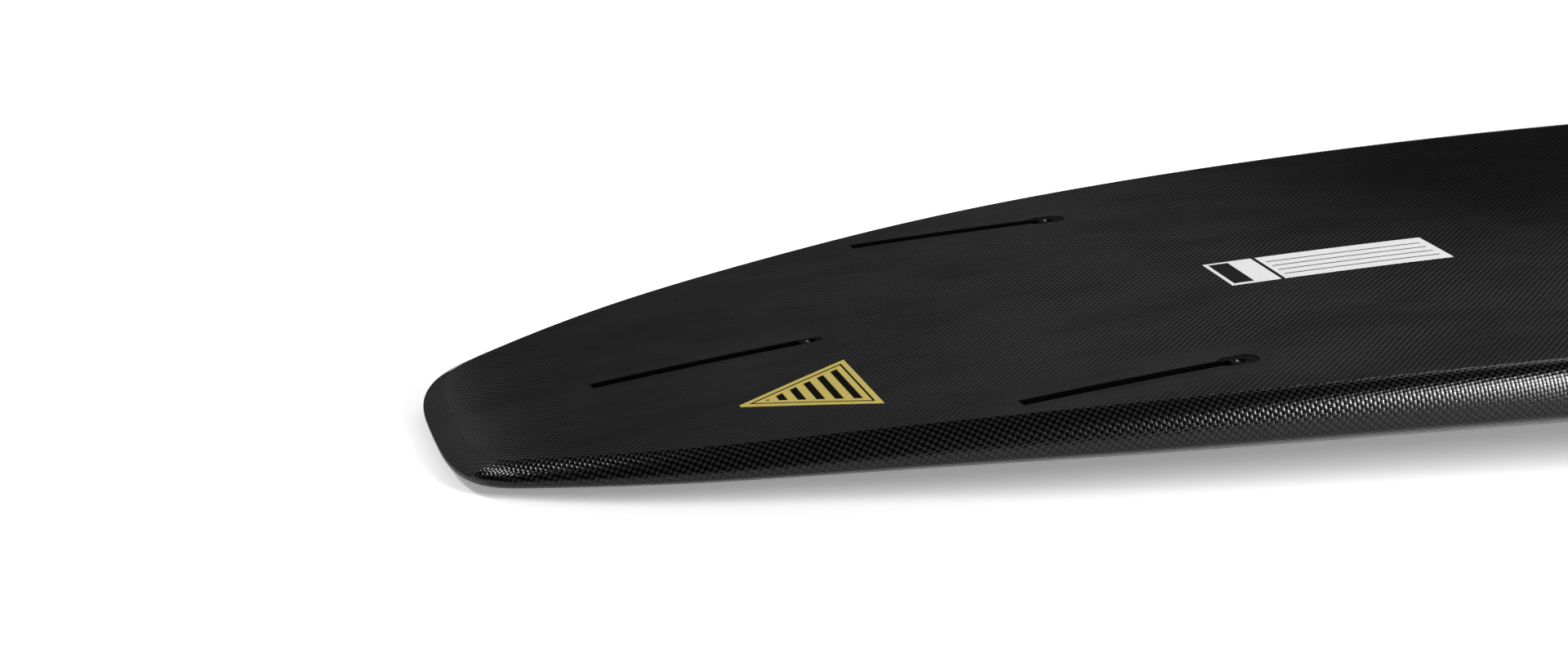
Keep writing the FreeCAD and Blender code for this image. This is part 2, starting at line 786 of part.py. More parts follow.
vent_place = deck_place(size("vent_from_tail"), 0.0)
vent_floor = sunk(vent_place, size("vent_depth"))
seat_floor = sunk(vent_place, size("vent_seat_depth"))
vent_height = over + "sizes.vent_depth"
vent_outside = cylinder("vent_outside", vent_floor, Radius="sizes.vent_diameter / 2", Height=vent_height)
vent_socket = cylinder("vent_socket", vent_floor, Radius="sizes.vent_diameter / 2", Height=vent_height)
vent_faced = boolean("Common", "vent_faced", vent_outside, envelope)
vent_bore = cylinder("vent_bore", vent_floor, Radius="sizes.vent_bore / 2", Height=vent_height)
vent_seat = cylinder("vent_seat", seat_floor, Radius="sizes.vent_seat_diameter / 2", Height=vent_height)
vent_hollow = joined("vent_hollow", [vent_bore, vent_seat])
node("vent_body", boolean("Cut", "vent_body", vent_faced, vent_hollow))
membrane = cylinder(
    "vent_membrane", Place(), Radius="sizes.vent_seat_diameter / 2", Height="sizes.vent_membrane_thickness"
)
node("vent_membrane", membrane, seat_floor)
cap_floor = sunk(vent_place, size("vent_seat_depth") - size("vent_membrane_thickness"))
cap_outside = cylinder("cap_outside", cap_floor, Radius="sizes.vent_seat_diameter / 2", Height=vent_height)
cap_hole = cylinder("cap_hole", vent_floor, Radius="sizes.vent_cap_hole / 2", Height=vent_height)
cap_faced = boolean("Common", "cap_faced", cap_outside, envelope)
node("vent_cap", boolean("Cut", "vent_cap", cap_faced, cap_hole))

# ---------------------------------------------------------------- core and skins, cut to take the rest

core_cuts = joined("core_cuts", [blank for blank, _ in fin_sets] + [leash_prism, vent_socket])
node("rail_skin", rail_skin)
node("foam_core", boolean("Cut", "foam_core", core_blank, core_cuts))
mouths = joined("mouths", [opening for _, opening in fin_sets])
node("bottom_skin", boolean("Cut", "bottom_skin", bottom_blank, mouths))
deck_holes = joined("deck_holes", [cup_socket, vent_socket])
node("deck_skin", boolean("Cut", "deck_skin", deck_blank, deck_holes))

# ---------------------------------------------------------------- label and decal

label_start = size("label_station_share") * length
label_side = size("label_centre_offset") - size("label_width") / 2.0
label_low = Vec(label_start, label_side, -THROUGH / 2.0)
label_prism = block(
    "label_prism",
    Place(label_low, Rot()),
    Length="sizes.label_length",
    Width="sizes.label_width",
    Height="%g" % THROUGH,
)
node("size_label", boolean("Common", "size_label", label_prism, layer))

decal_prism = doc.addObject("Part::Wedge", "decal_prism")
decal_low = Vec(size("decal_from_tail"), size("decal_centre_offset"), -THROUGH / 2.0)
decal_prism.Placement = Place(decal_low, Rot(Vec(0, 0, 1), -90.0))
bind(
    decal_prism,
    Xmin="-sizes.decal_tip_width / 2",
    Xmax="sizes.decal_tip_width / 2",
    Ymin="0",
    Ymax="sizes.decal_length",
    Zmin="0",
    Zmax="%g" % THROUGH,
    X2min="-sizes.decal_width / 2",
    X2max="sizes.decal_width / 2",
    Z2min="0",
    Z2max="%g" % THROUGH,
)
node("gold_decal", boolean("Common", "gold_decal", decal_prism, layer))

# ---------------------------------------------------------------- check and write the pieces

doc.recompute()
for item in doc.Objects:
    if "Invalid" in item.State or "Error" in item.State:
        raise RuntimeError("%s did not compute: %s" % (item.Name, item.State))
os.makedirs("parts", exist_ok=True)
for item in nodes:
    if item.Shape.isNull() or not item.Shape.isValid():
        raise RuntimeError("%s has no valid shape" % item.Label)
    if len(item.Shape.Solids) != 1:
        raise RuntimeError("%s is %d solids" % (item.Label, len(item.Shape.Solids)))
    item.Shape.exportStep("parts/%s.step" % item.Label)
    print(item.Label, round(item.Shape.Volume / 1000.0, 3), "cm3")
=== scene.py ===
import math

import bpy
import numpy as np
from mathutils import Matrix, Quaternion, Vector
from mathutils.geometry import delaunay_2d_cdt


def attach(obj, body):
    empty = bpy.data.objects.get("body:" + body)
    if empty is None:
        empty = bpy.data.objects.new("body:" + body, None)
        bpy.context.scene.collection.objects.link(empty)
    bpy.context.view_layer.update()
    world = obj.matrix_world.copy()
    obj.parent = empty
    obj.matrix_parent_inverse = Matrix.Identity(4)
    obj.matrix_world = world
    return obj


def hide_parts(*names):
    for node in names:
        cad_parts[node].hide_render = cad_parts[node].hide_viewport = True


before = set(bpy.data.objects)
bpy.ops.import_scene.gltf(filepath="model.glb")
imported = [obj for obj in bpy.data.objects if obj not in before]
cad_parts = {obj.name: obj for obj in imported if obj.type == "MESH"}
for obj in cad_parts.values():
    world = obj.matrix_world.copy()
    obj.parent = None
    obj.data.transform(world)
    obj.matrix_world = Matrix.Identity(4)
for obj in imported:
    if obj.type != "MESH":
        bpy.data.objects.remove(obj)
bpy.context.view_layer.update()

# ------------------------------------------------------------------ the board's own frame
# Sizes are the part's own, in mm: X from the tail end to the nose, left rail at -Y, Z out of the bottom.

LENGTH = 1803.4
WIDTH = 479.5
FOOT = 304.8
TAIL_THICKNESS, TAIL_FOOT_THICKNESS = 18.1, 41.8
THICKNESS = 60.3
NOSE_FOOT_THICKNESS, NOSE_THICKNESS = 38.0, 13.0
LOW_POINT = 0.499 * LENGTH
TAIL_ROCKER, TAIL_ROCKER_POWER = 59.6, 2.57
NOSE_ROCKER, NOSE_ROCKER_POWER = 118.0, 2.4
# where the board's frame stands when the board lies on its deck
REST_PLACE = Vector((-904.01847, 0.0, 74.47985))
REST_TURN = Quaternion((0.99989968, 0.0, -0.01416467, 0.0))
REST = Matrix.Translation(REST_PLACE) @ REST_TURN.to_matrix().to_4x4()
REST_M = np.array(REST_TURN.to_matrix())
REST_P = np.array(REST_PLACE)

OUTLINE_SHARES = (
    (0.0, 0.315), (0.055, 0.521), (0.111, 0.649), (0.169, 0.756), (0.250, 0.852),
    (0.344, 0.925), (0.444, 0.984), (0.516, 1.000), (0.600, 0.974), (0.690, 0.888),
    (0.770, 0.754), (0.831, 0.617), (0.900, 0.424), (0.950, 0.255), (1.0, 0.036),
)
TAIL_CORNER, TAIL_POWER, NOSE_CAP = 35.7, 3.48, 8.0
TAIL_STEPS, SIDE_STEPS, NOSE_STEPS = 14, 40, 5
TAIL_HUB, NOSE_HUB = 36.0, 60.0
TUCK_FADE_START = 150.0
TUCK_TAIL, TUCK_MIDDLE, TUCK_NOSE = 10.9, 13.9, 4.0
EDGE_HARDNESS, EDGE_FADE_START, EDGE_FADE_END = 0.37, 100.0, 700.0
APEX_SHARE, CROWN_POWER = 0.435, 2.36
DECK_ANGLES = (6.0, 14.0, 24.0, 36.0, 50.0, 66.0, 80.0, 90.0)
BOTTOM_ROWS = (0.0, 0.12, 0.40, 0.75, 1.0)

# the openings in the laminate: half sizes of a slot's mouth, with the gap to its box
SLOT_HALF = 57.15
MOUTH_LONG, MOUTH_HALF = SLOT_HALF + 0.4, 3.45 + 0.4
CENTRE_SLOT = 84.2 + SLOT_HALF
SIDE_SLOT = 270.3 + SLOT_HALF
SIDE_INSET = 44.8
TOE = math.radians(3.4)
# a pad's reach behind and before the slot's front end, and its width
CENTRE_PAD = (4.0, 12.0, 7.4)
SIDE_PAD = (7.0, 15.5, 13.2)
# depth and reach of the soft trough round a slot
CENTRE_TROUGH = (0.9, 9.0)
SIDE_TROUGH = (0.8, 8.0)
SLOT_LIP = 1.5
# station, offset and radius of the plugs' mouths in the deck
LEASH_PLUG = (80.0, 47.0, 15.0)
VENT_PLUG = (1020.0, 0.0, 7.0)
PLUG_GAP, PLUG_LIP = 0.05, 1.2

# how finely the meshes are laid round an opening, and how far about it
SLOT_STEP, SLOT_REFILL, SLOT_MARGIN = 1.6, 2.0, 4.0
PLUG_STEPS, PLUG_REFILL, PLUG_MARGIN = 48, 3.0, 8.0

# the printed sheets
LABEL_START, LABEL_EDGE = 434.5, -28.0
DECAL_START, DECAL_MIDDLE, DECAL_LONG = 145.0, -77.0, 65.0


def natural_spline(stations):
    """A natural cubic spline through (station, value) pairs, as a function."""
    xs = np.array([p[0] for p in stations], float)
    ys = np.array([p[1] for p in stations], float)
    count = len(xs)
    gaps = np.diff(xs)
    system = np.eye(count)
    right = np.zeros(count)
    for i in range(1, count - 1):
        system[i, i - 1:i + 2] = gaps[i - 1], 2 * (gaps[i - 1] + gaps[i]), gaps[i]
        right[i] = 3 * ((ys[i + 1] - ys[i]) / gaps[i] - (ys[i] - ys[i - 1]) / gaps[i - 1])
    curve = np.linalg.solve(system, right)

    def value(x):
        i = int(np.clip(np.searchsorted(xs, x) - 1, 0, count - 2))
        d = x - xs[i]
        slope = (ys[i + 1] - ys[i]) / gaps[i] - gaps[i] * (curve[i + 1] + 2 * curve[i]) / 3
        return ys[i] + slope * d + curve[i] * d * d + (curve[i + 1] - curve[i]) / (3 * gaps[i]) * d**3

    return value


side_width = natural_spline([(x * LENGTH, s * WIDTH / 2) for x, s in OUTLINE_SHARES])
thickness = natural_spline(
    [
        (0.0, TAIL_THICKNESS),
        (FOOT, TAIL_FOOT_THICKNESS),
        (LENGTH / 2, THICKNESS),
        (LENGTH - FOOT, NOSE_FOOT_THICKNESS),
        (LENGTH, NOSE_THICKNESS),
    ]
)


def bottom_height(x):
    """Height of the bottom's middle line, which is 0 at its highest station."""
    if x < LOW_POINT:
        return -TAIL_ROCKER * ((LOW_POINT - x) / LOW_POINT) ** TAIL_ROCKER_POWER
    return -NOSE_ROCKER * ((x - LOW_POINT) / (LENGTH - LOW_POINT)) ** NOSE_ROCKER_POWER


def fade(a, b, t):
    """From a to b as t goes from 0 to 1, level at both ends."""
    t = min(1.0, max(0.0, t))
    return a + (b - a) * t * t * (3 - 2 * t)


def outline():
    """Points of the left half of the plan outline, from the tail's end to the nose tip."""
    points = []
    power = 2 / TAIL_POWER
    for i in range(TAIL_STEPS):
        a = math.pi / 2 * i / TAIL_STEPS
        x = TAIL_CORNER * (1 - math.cos(a) ** power)
        points.append((x, side_width(x) * math.sin(a) ** power))
    for i in range(SIDE_STEPS + 1):
        share = 0.5 - 0.5 * math.cos(math.pi * i / SIDE_STEPS)
        x = TAIL_CORNER + (LENGTH - NOSE_CAP - TAIL_CORNER) * share
        points.append((x, side_width(x)))
    for i in reversed(range(NOSE_STEPS)):
        a = math.pi / 2 * i / NOSE_STEPS
        x = LENGTH - NOSE_CAP * (1 - math.cos(a))
        points.append((x, side_width(x) * math.sin(a)))
    return np.array(points)


def pole_rows():
    """The same control poles as the part's bottom and deck surfaces."""
    pts = outline()
    bottom, deck = [], []
    for i, p in enumerate(pts):
        if i == 0:
            inward = np.array([1.0, 0.0])
        elif i == len(pts) - 1:
            inward = np.array([-1.0, 0.0])
        else:
            along = pts[i + 1] - pts[i - 1]
            inward = np.array([along[1], -along[0]]) / np.hypot(*along)
        x = p[0]
        middle = np.array([TAIL_HUB + (LENGTH - TAIL_HUB - NOSE_HUB) * x / LENGTH, 0.0])
        apex = APEX_SHARE * thickness(x)
        hardness = fade(EDGE_HARDNESS, 0.0, (x - EDGE_FADE_START) / (EDGE_FADE_END - EDGE_FADE_START))
        drop = hardness * apex
        if x < LENGTH / 2:
            share = (x - TUCK_FADE_START) / (LENGTH / 2 - TUCK_FADE_START)
            tuck = fade(TUCK_TAIL, TUCK_MIDDLE, share)
        else:
            tuck = fade(TUCK_MIDDLE, TUCK_NOSE, (x - LENGTH / 2) / (LENGTH / 2))

        def at(inset, depth):
            q = p + inward * inset
            return np.array([q[0], q[1], bottom_height(q[0]) - depth])

        edge = p + inward * tuck
        row = []
        for share in BOTTOM_ROWS:
            q = edge + (middle - edge) * share
            row.append([q[0], q[1], bottom_height(q[0])])
        bottom.append(row)
        knee, top = at(0, drop), at(0, apex)
        rim = at(tuck, 0)
        row = [rim, (rim + knee) / 2, knee + (top - knee) * 0.35, top]
        for angle in DECK_ANGLES:
            turn = math.radians(angle)
            share = 1.0 if angle >= 90 else 1 - math.cos(turn) ** (2 / CROWN_POWER)
            rise = 1.0 if angle >= 80 else math.sin(turn)
            reach = middle - p
            q = p + reach * share + (inward * reach.dot(inward) - reach) * share * (1 - share) ** 3
            fall = apex + (thickness(q[0]) - apex) * rise
            row.append(np.array([q[0], q[1], bottom_height(q[0]) - fall]))
        deck.append(row)
    return np.array(bottom), np.array(deck)


def basis(count, params, degree=3):
    """Clamped uniform B-spline basis and its derivative."""
    spans = count - degree
    knots = np.concatenate([np.zeros(degree), np.linspace(0, 1, spans + 1), np.ones(degree)])
    t = np.clip(np.asarray(params, float), 0, 1 - 1e-12)
    table = ((t[:, None] >= knots[None, :-1]) & (t[:, None] < knots[None, 1:])).astype(float)
    for p in range(1, degree + 1):
        lower = table
        n = lower.shape[1] - 1
        left = knots[p:p + n] - knots[:n]
        right = knots[p + 1:p + 1 + n] - knots[1:1 + n]
        a = np.where(left > 0, 1 / np.where(left > 0, left, 1), 0)
        b = np.where(right > 0, 1 / np.where(right > 0, right, 1), 0)
        table = (t[:, None] - knots[None, :n]) * a * lower[:, :n]
        table = table + (knots[None, p + 1:p + 1 + n] - t[:, None]) * b * lower[:, 1:n + 1]
        slope = degree * (a * lower[:, :n] - b * lower[:, 1:n + 1])
    return table, slope


def evaluate(poles, us, vs):
    """Points and unit normals of a bicubic surface."""
    bu, du = basis(poles.shape[0], us)
    bv, dv = basis(poles.shape[1], vs)
    point = np.einsum("iu,uvk,jv->ijk", bu, poles, bv)
    along = np.einsum("iu,uvk,jv->ijk", du, poles, bv)
    across = np.einsum("iu,uvk,jv->ijk", bu, poles, dv)
    normal = np.cross(along, across)
    size = np.linalg.norm(normal, axis=2, keepdims=True)
    return point, normal / np.where(size > 1e-12, size, 1)


# ------------------------------------------------------------------ meshes of the laminate

# marks of faces that lie in no column of the surface's own grid
REFILL, CUT_EDGE = 99, 98
# material slots of a laminate: its own look, the cut edge, and dull cloth for the tail's end
OWN_LOOK, EDGE_LOOK, DULL_LOOK = 0, 1, 2


class Sheet:
    """Points, normals and faces of one side of the laminate, in the board's frame."""

    def __init__(self, poles, us, vs, outward):
        point, normal = evaluate(poles, us, vs)
        rows, cols = point.shape[:2]
        index = np.arange(rows * cols).reshape(rows, cols)
        quads = np.stack([index[:-1, :-1], index[1:, :-1], index[1:, 1:], index[:-1, 1:]], axis=2)
        quads = quads.reshape(-1, 4)
        column = np.tile(np.arange(cols - 1), rows - 1)
        flat = point.reshape(-1, 3)
        norm = normal.reshape(-1, 3)
        # on the rails the cloth's map unrolls the girth outward from the rim
        girth = np.linalg.norm(np.diff(point, axis=1), axis=2).cumsum(axis=1)
        girth = np.concatenate([np.zeros((rows, 1)), girth], axis=1).reshape(-1)
        rim = np.repeat(point[:, 0, :2], cols, axis=0)
        tangent = np.gradient(point[:, 0, :2], axis=0)
        out = np.stack([-tangent[:, 1], tangent[:, 0]], axis=1)
        out /= np.maximum(1e-9, np.linalg.norm(out, axis=1, keepdims=True))
        out[0] = (-1, 0)
        out[-1] = (1, 0)
        out = np.repeat(out, cols, axis=0)
        wrap = rim + out * girth[:, None]
        mirror = np.array([1.0, -1.0, 1.0])
        if (norm[:, 2].mean() > 0) != (outward > 0):
            norm = -norm
        count = len(flat)
        self.co = np.concatenate([flat, flat * mirror])
        self.no = np.concatenate([norm, norm * mirror])
        self.wrap = np.concatenate([wrap, wrap * mirror[:2]])
        self.quads = np.concatenate([quads, quads[:, ::-1] + count])
        self.column = np.concatenate([column, column])
        self.weld()

    def weld(self):
        """Join the two halves and make the faces, each turned to its normals."""
        key = np.round(self.co, 4) + 0.0
        _, first, back = np.unique(key, axis=0, return_index=True, return_inverse=True)
        back = back.reshape(-1)
        total = np.zeros((len(first), 3))
        np.add.at(total, back, self.no)
        self.co = self.co[first]
        self.no = total / np.maximum(1e-9, np.linalg.norm(total, axis=1, keepdims=True))
        self.wrap = self.wrap[first]
        self.quads = back[self.quads]
        self.faces = []
        self.kind = []
        for quad, column in zip(self.quads.tolist(), self.column.tolist()):
            ring = [v for i, v in enumerate(quad) if v != quad[i - 1]]
            if len(set(ring)) >= 3:
                span = self.co[ring[2]] - self.co[ring[0]]
                other = self.co[ring[-1]] - self.co[ring[1]]
                if np.cross(span, other).dot(self.no[ring[1]]) < 0:
                    ring.reverse()
                self.faces.append(ring)
                self.kind.append(column)

    def open_window(self, inside, loop, dip, spacing):
        """Cut the faces near a mouth, refill them finely and leave the mouth's loop open."""
        co = self.co
        near = inside(co[:, 0], co[:, 1])
        keep, kind, gone = [], [], []
        for ring, column in zip(self.faces, self.kind):
            if near[ring].any():
                gone.append(ring)
            else:
                keep.append(ring)
                kind.append(column)
        sides = {}
        for ring in gone:
            for i, v in enumerate(ring):
                edge = (ring[i - 1], v)
                if (edge[1], edge[0]) in sides:
                    del sides[(edge[1], edge[0])]
                else:
                    sides[edge] = True
        around = np.array(sorted({v for ring in gone for v in ring}))
        border = sorted({v for edge in sides for v in edge})
        place = {v: i for i, v in enumerate(border)}
        centre = co[around, :2].mean(axis=0)
        scale = np.abs(co[around, :2] - centre).max(axis=0)

        def terms(x, y):
            x = (x - centre[0]) / scale[0]
            y = (y - centre[1]) / scale[1]
            return np.stack([x**i * y**j for i in range(6) for j in range(5) if i + j < 7], axis=1)

        fit = np.linalg.lstsq(terms(co[around, 0], co[around, 1]), co[around, 2], rcond=None)[0]

        def height(x, y):
            return terms(x, y) @ fit + dip(x, y)

        low, high = co[border, :2].min(axis=0), co[border, :2].max(axis=0)
        gx, gy = np.meshgrid(
            np.arange(low[0], high[0], spacing), np.arange(low[1], high[1], spacing), indexing="ij"
        )
        gx[:, 1::2] += spacing / 2
        grid = np.stack([gx.ravel(), gy.ravel()], axis=1)
        side_start = np.array([co[a, :2] for a, b in sides])
        side_end = np.array([co[b, :2] for a, b in sides])
        clear = inside(grid[:, 0], grid[:, 1]) & ~in_polygon(grid, loop)
        for x, y in list(loop) + list(side_start):
            clear &= np.hypot(grid[:, 0] - x, grid[:, 1] - y) > spacing * 0.6
        grid = grid[clear]
        coords = [Vector(p) for p in [*co[border, :2], *loop, *grid]]
        edges = [(place[a], place[b]) for a, b in sides]
        start = len(border)
        n = len(loop)
        edges += [(start + i, start + (i + 1) % n) for i in range(n)]
        out_co, _, out_faces, sources, _, _ = delaunay_2d_cdt(coords, edges, [], 0, 1e-6)
        xy = np.array([[p.x, p.y] for p in out_co])
        eps = 0.02
        z = height(xy[:, 0], xy[:, 1])
        zx = (height(xy[:, 0] + eps, xy[:, 1]) - height(xy[:, 0] - eps, xy[:, 1])) / (2 * eps)
        zy = (height(xy[:, 0], xy[:, 1] + eps) - height(xy[:, 0], xy[:, 1] - eps)) / (2 * eps)
        sign = 1.0 if self.no[around, 2].mean() > 0 else -1.0
        normals = np.stack([-zx, -zy, np.ones(len(xy))], axis=1) * sign
        normals /= np.linalg.norm(normals, axis=1, keepdims=True)
        extra_co, extra_no = [], []
        new_id, order = {}, {}
        for i, source in enumerate(sources):
            old = [k for k in source if k < start]
            if old:
                new_id[i] = border[old[0]]
            else:
                new_id[i] = len(co) + len(extra_co)
                extra_co.append((xy[i, 0], xy[i, 1], z[i]))
                extra_no.append(normals[i])
            for k in source:
                if start <= k < start + n:
                    order[k - start] = new_id[i]
        middle = np.array([xy[f].mean(axis=0) for f in out_faces])
        filled = in_segments(middle, side_start, side_end) & ~in_polygon(middle, loop)
        for f, good in zip(out_faces, filled):
            if not good:
                continue
            a, b, c = (xy[v] for v in f)
            turn = (b[0] - a[0]) * (c[1] - a[1]) - (b[1] - a[1]) * (c[0] - a[0])
            if abs(turn) < 1e-9:
                continue
            f = list(f) if (turn > 0) == (sign > 0) else list(f)[::-1]
            keep.append([new_id[v] for v in f])
            kind.append(REFILL)
        self.co = np.concatenate([co, np.array(extra_co)])
        self.no = np.concatenate([self.no, np.array(extra_no)])
        self.wrap = np.concatenate([self.wrap, np.array(extra_co)[:, :2]])
        self.faces, self.kind = keep, kind
        return [order[i] for i in range(n)]

    def lip(self, loop_ids, depth, outward):
        """A wall round a mouth, going down into the board, with a slightly rounded edge."""
        ring = self.co[loop_ids]
        centre = ring.mean(axis=0)
        base = len(self.co)
        n = len(loop_ids)
        steps = (0.0, 0.25, 1.0)
        side = ring[:, :2] - np.roll(ring[:, :2], 1, axis=0)
        side = side + np.roll(side, -1, axis=0)
        wall = np.stack([-side[:, 1], side[:, 0], np.zeros(n)], axis=1)
        wall /= np.maximum(1e-9, np.linalg.norm(wall, axis=1, keepdims=True))
        if ((centre - ring) * wall).sum() < 0:
            wall = -wall
        up = self.no[loop_ids]
        for share in steps:
            tip = ring - up * depth * share + wall * (0.18 if share else 0.0)
            mix = wall if share else (wall + up) / np.sqrt(2)
            self.co = np.concatenate([self.co, tip])
            self.no = np.concatenate([self.no, mix])
            self.wrap = np.concatenate([self.wrap, tip[:, :2]])
        for k in range(len(steps) - 1):
            for i in range(n):
                j = (i + 1) % n
                a, b = base + k * n + i, base + k * n + j
                c, d = a + n, b + n
                quad = [a, c, d, b] if outward > 0 else [a, b, d, c]
                p = self.co[quad]
                flat = np.cross(p[1] - p[0], p[2] - p[1])
                if flat.dot(wall[i]) < 0:
                    quad = quad[::-1]
                self.faces.append(quad)
                self.kind.append(CUT_EDGE)

    def tail_end(self):
        """The faces that look backward and up, round the tail's end."""
        normal = np.array([self.no[f].mean(axis=0) for f in self.faces])
        plan = np.maximum(1e-9, np.hypot(normal[:, 0], normal[:, 1]))
        station = np.array([self.co[f, 0].mean() for f in self.faces])
        return (station < TAIL_HUB) & (normal[:, 0] < -0.90 * plan) & (normal[:, 2] > 0.05)

    def build(self, name, lap_column=None):
        """The Blender mesh, laid at rest, with its cloth coordinates as a UV map."""
        used = np.unique(np.concatenate([np.array(f) for f in self.faces]))
        remap = -np.ones(len(self.co), int)
        remap[used] = np.arange(len(used))
        faces = [[int(remap[v]) for v in f] for f in self.faces]
        co = (self.co[used] @ REST_M.T + REST_P) / 1000.0
        no = self.no[used] @ REST_M.T
        mesh = bpy.data.meshes.new(name)
        mesh.from_pydata(co.tolist(), [], faces)
        layer = mesh.uv_layers.new(name="cloth")
        loops = np.zeros(len(mesh.loops), int)
        mesh.loops.foreach_get("vertex_index", loops)
        sizes = np.array([len(f) for f in faces])
        kinds = np.repeat(np.array(self.kind), sizes)
        wrap = self.wrap[used][loops]
        plain = self.co[used][loops][:, :2]
        if lap_column is None:
            uv = plain
        else:
            uv = np.where((kinds < lap_column)[:, None], wrap, plain)
        layer.data.foreach_set("uv", (uv / 1000.0).astype(np.float32).ravel())
        mesh.polygons.foreach_set("use_smooth", np.ones(len(faces), bool))
        look = np.full(len(faces), OWN_LOOK, np.int32)
        look[np.array(self.kind) == CUT_EDGE] = EDGE_LOOK
        look[self.tail_end()] = DULL_LOOK
        mesh.polygons.foreach_set("material_index", look)
        mesh.normals_split_custom_set_from_vertices(no.tolist())
        mesh.validate()
        piece = bpy.data.objects.new(name, mesh)
        bpy.context.scene.collection.objects.link(piece)
        return piece


def in_polygon(points, polygon):
    """Which points lie inside a closed polygon."""
    polygon = np.asarray(polygon, float)
    return in_segments(points, polygon, np.roll(polygon, -1, axis=0))


def in_segments(points, start, end):
    """Which points lie inside the region that a set of segments bounds, by the even-odd rule."""
    hits = np.zeros(len(points), int)
    px, py = points[:, 0], points[:, 1]
    for (ax, ay), (bx, by) in zip(start, end):
        if ay == by:
            continue
        cross = (ay > py) != (by > py)
        at = ax + (py - ay) / (by - ay) * (bx - ax)
        hits += (cross & (px < at)).astype(int)
    return hits % 2 == 1


def keyhole_loop(place, pad_back, pad_front, pad_width, step):
    """The edge of a fin slot with the round-ended pad about its screw, in plan."""
    x0, y0, toe = place
    r = pad_width / 2
    rear, front = SLOT_HALF - pad_back + r, SLOT_HALF + pad_front - r
    if r > MOUTH_HALF:
        start = math.pi - math.asin(MOUTH_HALF / r)
        join = rear + r * math.cos(start)
        back = [(rear + r * math.cos(t), r * math.sin(t)) for t in np.linspace(start, math.pi / 2, 6)[1:]]
    else:
        join = MOUTH_LONG
        back = [(join, r)]
    steps = int((join + MOUTH_LONG) / step)
    upper = [(-MOUTH_LONG + (join + MOUTH_LONG) * i / steps, MOUTH_HALF) for i in range(steps)]
    tip = [(front + r * math.cos(t), r * math.sin(t)) for t in np.linspace(math.pi / 2, 0, 8)]
    half = [(-MOUTH_LONG, 0.0), *upper, (join, MOUTH_HALF), *back, *tip]
    pts = half + [(x, -y) for x, y in half[-2:0:-1]]
    c, s = math.cos(toe), math.sin(toe)
    return [(x0 + x * c - y * s, y0 + x * s + y * c) for x, y in pts]


SIDE_OFFSET = side_width(SIDE_SLOT) - SIDE_INSET
FIN_SLOTS = (
    # middle of the slot and its toe, then its pad and its trough
    ((CENTRE_SLOT, 0.0, 0.0), CENTRE_PAD, CENTRE_TROUGH),
    ((SIDE_SLOT, -SIDE_OFFSET, TOE), SIDE_PAD, SIDE_TROUGH),
    ((SIDE_SLOT, SIDE_OFFSET, -TOE), SIDE_PAD, SIDE_TROUGH),
)


def slot_distance(place, pad, x, y):
    """Distance in plan from the mouth of a slot."""
    x0, y0, toe = place
    back, front, width = pad
    c, s = math.cos(toe), math.sin(toe)
    u = (x - x0) * c + (y - y0) * s
    v = -(x - x0) * s + (y - y0) * c
    slot = np.hypot(u - np.clip(u, -MOUTH_LONG + MOUTH_HALF, SLOT_HALF), v) - MOUTH_HALF
    low, high = SLOT_HALF - back + width / 2, SLOT_HALF + front - width / 2
    return np.minimum(slot, np.hypot(u - np.clip(u, low, high), v) - width / 2)


def open_slot(sheet, place, pad, depth, spread):
    """A fin slot's mouth, at the bottom of a soft trough."""

    def dip(x, y):
        t = np.clip(1 - slot_distance(place, pad, x, y) / spread, 0, 1)
        return -depth * t * t * (3 - 2 * t)

    def inside(x, y):
        return slot_distance(place, pad, x, y) < spread + SLOT_MARGIN

    mouth = sheet.open_window(inside, keyhole_loop(place, *pad, SLOT_STEP), dip, SLOT_REFILL)
    sheet.lip(mouth, SLOT_LIP, 1)


def open_plug(sheet, x, y, radius):
    """A plug's round mouth."""

    def inside(px, py):
        return np.hypot(px - x, py - y) < radius + PLUG_MARGIN

    def level(px, py):
        return np.zeros_like(px)

    around = radius + PLUG_GAP
    turns = np.linspace(0, 2 * math.pi, PLUG_STEPS, endpoint=False)
    loop = [(x + around * math.cos(t), y + around * math.sin(t)) for t in turns]
    mouth = sheet.open_window(inside, loop, level, PLUG_REFILL)
    sheet.lip(mouth, PLUG_LIP, -1)


BOTTOM_POLES, DECK_POLES = pole_rows()
# shares of the length: even, and closer together toward the tail and the nose
ALONG_SPANS = ((0, 1, 421), (0, 0.32, 200), (0.9, 1, 60))
ALONG = np.unique(np.concatenate([np.linspace(*span) for span in ALONG_SPANS]))
RAIL_ROWS = np.concatenate([np.linspace(0, 0.5, 46)[:-1], np.linspace(0.5, 1, 26)])
LAP_COLUMN = 40

bottom = Sheet(BOTTOM_POLES, ALONG, np.linspace(0, 1, 31), 1)
for place, pad, (depth, spread) in FIN_SLOTS:
    open_slot(bottom, place, pad, depth, spread)
bottom_piece = bottom.build("bottom_laminate")
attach(bottom_piece, "board")
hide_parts("bottom_skin")

deck = Sheet(DECK_POLES, ALONG, RAIL_ROWS, -1)
for plug in (LEASH_PLUG, VENT_PLUG):
    open_plug(deck, *plug)
deck_piece = deck.build("deck_and_rail_laminate", lap_column=LAP_COLUMN)
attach(deck_piece, "board")
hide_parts("deck_skin", "rail_skin")

# ------------------------------------------------------------------ materials


